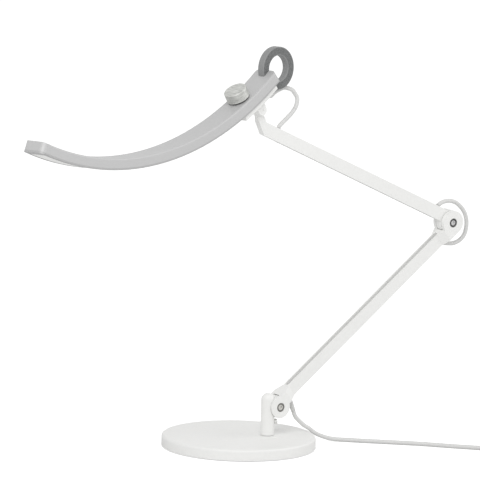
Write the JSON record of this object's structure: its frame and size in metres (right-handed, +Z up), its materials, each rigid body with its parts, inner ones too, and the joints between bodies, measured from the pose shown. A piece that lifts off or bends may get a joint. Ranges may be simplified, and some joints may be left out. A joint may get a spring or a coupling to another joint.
{
  "type": "folding desk lamp",
  "caption": "Folding desk lamp with a round weighted base, two slotted arms on hinges, and a curved light bar with a dial and a grab ring",
  "frame": {"origin": "centre of the base's underside, on the table", "axes": "+Z up; +X the way the lower arm leans; the arms stand in a plane parallel to XZ"},
  "size_m": [0.8255, 0.3298, 0.5517],
  "materials": {
    "white_paint": "satin",
    "weight_steel": "rough",
    "zinc_steel": "satin",
    "pad_rubber": "matte",
    "washer_plastic": "matte",
    "silver_alloy": "satin",
    "cable_sheath": "satin",
    "diffuser_milk": "satin",
    "board": "satin",
    "led_board_white": "satin",
    "led_yellow": "satin",
    "dark_plastic": "matte",
    "dial_alloy": "brushed",
    "ring_grey": "satin",
    "ring_dark": "matte",
    "plug_white": "gloss",
    "plug_brass": "polished"
  },
  "bodies": {
    "base": {"base_cover": "white_paint", "base_weight": "weight_steel", "base_plate": "zinc_steel", "foot_pad": "pad_rubber", "base_screws": "zinc_steel", "post_collar": "white_paint", "post": "white_paint", "post_bolt": "zinc_steel", "post_washer": "zinc_steel", "stop_screw": "zinc_steel", "lead": "cable_sheath", "lead_coil": "cable_sheath", "coil_tie": "dark_plastic", "lead_tail": "cable_sheath", "plug_body": "plug_white", "plug_pins": "plug_brass"},
    "lower_arm": {"lower_arm": "white_paint", "lower_cable": "cable_sheath", "lead_relief": "cable_sheath", "pivot_screw": "zinc_steel", "pivot_nut": "zinc_steel", "pivot_washers": "washer_plastic", "elbow_screw": "zinc_steel", "elbow_nut": "zinc_steel", "elbow_washers": "washer_plastic", "elbow_cable": "cable_sheath"},
    "upper_arm": {"upper_arm": "white_paint", "upper_cable": "cable_sheath", "swivel_sleeve": "washer_plastic", "neck_grub_screw": "zinc_steel"},
    "knuckle": {"tilt_knuckle": "white_paint", "tilt_washers": "washer_plastic", "head_side_cable": "cable_sheath", "arm_side_cable": "cable_sheath"},
    "head": {"head_saddle": "white_paint", "saddle_screws": "zinc_steel", "tilt_pin": "zinc_steel", "head_housing": "silver_alloy", "head_frame": "silver_alloy", "frame_screws": "zinc_steel", "diffuser": "diffuser_milk", "led_board": "led_board_white", "led_chips": "led_yellow", "heat_spreader": "silver_alloy", "control_board": "board", "dial_encoder": "dark_plastic", "dial_collar": "dark_plastic", "grab_ring": "ring_grey", "ring_inlays": "ring_dark", "ring_keeper": "silver_alloy", "head_inner_cable": "cable_sheath"},
    "dial_stem": {"dial_stem": "dark_plastic"},
    "dial": {"dial_knob": "dial_alloy"}
  },
  "joints": [
    {"name": "lower_pitch", "type": "hinge", "parent": "base", "child": "lower_arm", "pos_m": [0.0464, -0.02, 0.0554], "axis": [0, -1, 0], "range_deg": [-30, 35], "deforming": ["lead"]},
    {"name": "elbow", "type": "hinge", "parent": "lower_arm", "child": "upper_arm", "pos_m": [0.32961, -0.02, 0.28529], "axis": [0, 1, 0], "range_deg": [-33, 87], "deforming": ["elbow_cable"]},
    {"name": "head_swivel", "type": "hinge", "parent": "upper_arm", "child": "knuckle", "pos_m": [0.00108, -0.02, 0.46962], "axis": [-0.3971, 0, 0.9178], "range_deg": [-60, 60], "deforming": ["arm_side_cable"]},
    {"name": "head_tilt", "type": "hinge", "parent": "knuckle", "child": "head", "pos_m": [0.00108, -0.02, 0.46962], "axis": [0.1594, -0.9848, 0.069], "range_deg": [-25, 55], "deforming": ["head_side_cable"]},
    {"name": "dial_press", "type": "slide", "parent": "head", "child": "dial_stem", "axis": [0.485, 0.0173, -0.8743], "range_m": [0, 0.001], "stiffness_N_per_m": 1500},
    {"name": "dial_turn", "type": "hinge", "parent": "dial_stem", "child": "dial", "pos_m": [-0.03187, -0.02413, 0.48675], "axis": [-0.485, -0.0173, 0.8743], "continuous": true}
  ]
}
